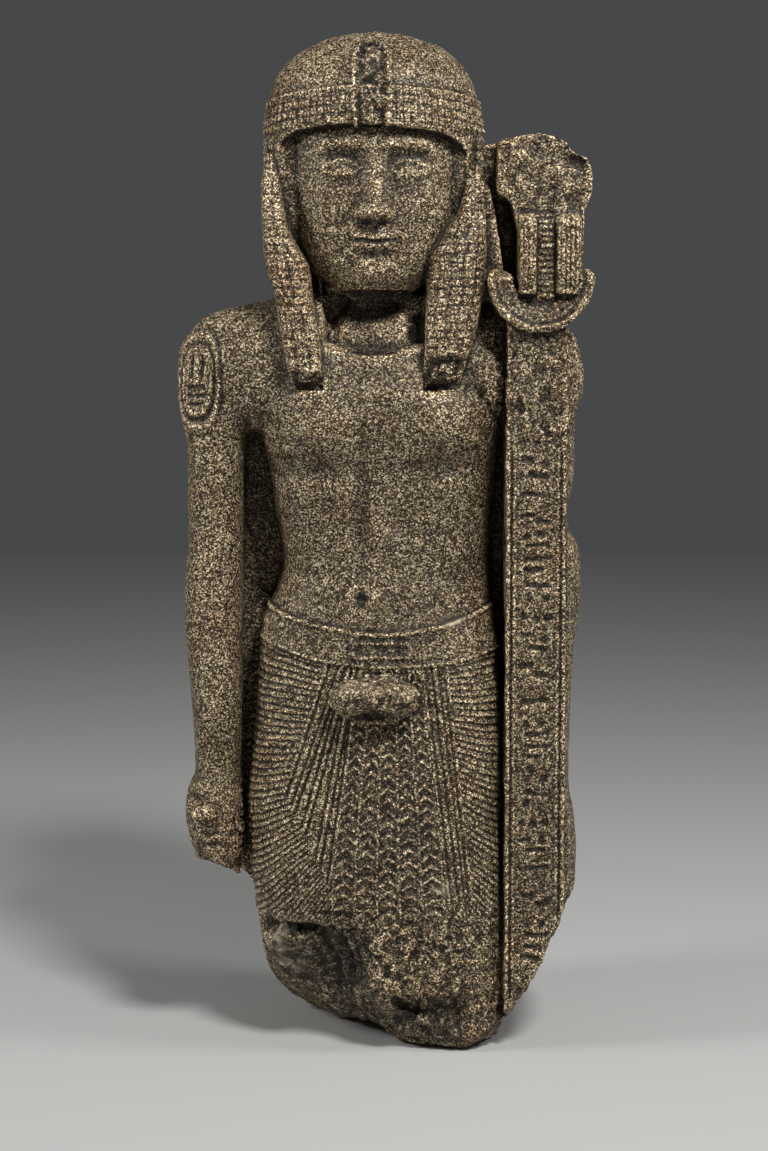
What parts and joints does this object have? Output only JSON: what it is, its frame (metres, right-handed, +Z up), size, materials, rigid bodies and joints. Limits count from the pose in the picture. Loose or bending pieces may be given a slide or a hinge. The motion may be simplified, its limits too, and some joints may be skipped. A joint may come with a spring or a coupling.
{
  "type": "egyptian pharaoh statue",
  "caption": "Standing royal figure in a pleated kilt with a standard at its side, carved with its back pillar from dark stone and broken off at the knees.",
  "frame": {"origin": "under the middle of the bounding box, level with the lowest bearing of the break", "axes": "+Z up towards the crown, the figure looks along -Y, +X to the beholder's right"},
  "size_m": [0.468, 0.328, 1.15],
  "materials": {
    "granodiorite": "worn polish, dark grey-brown with cream and ochre grains"
  },
  "bodies": {
    "root": {"pharaoh_statue": "granodiorite"}
  },
  "joints": []
}
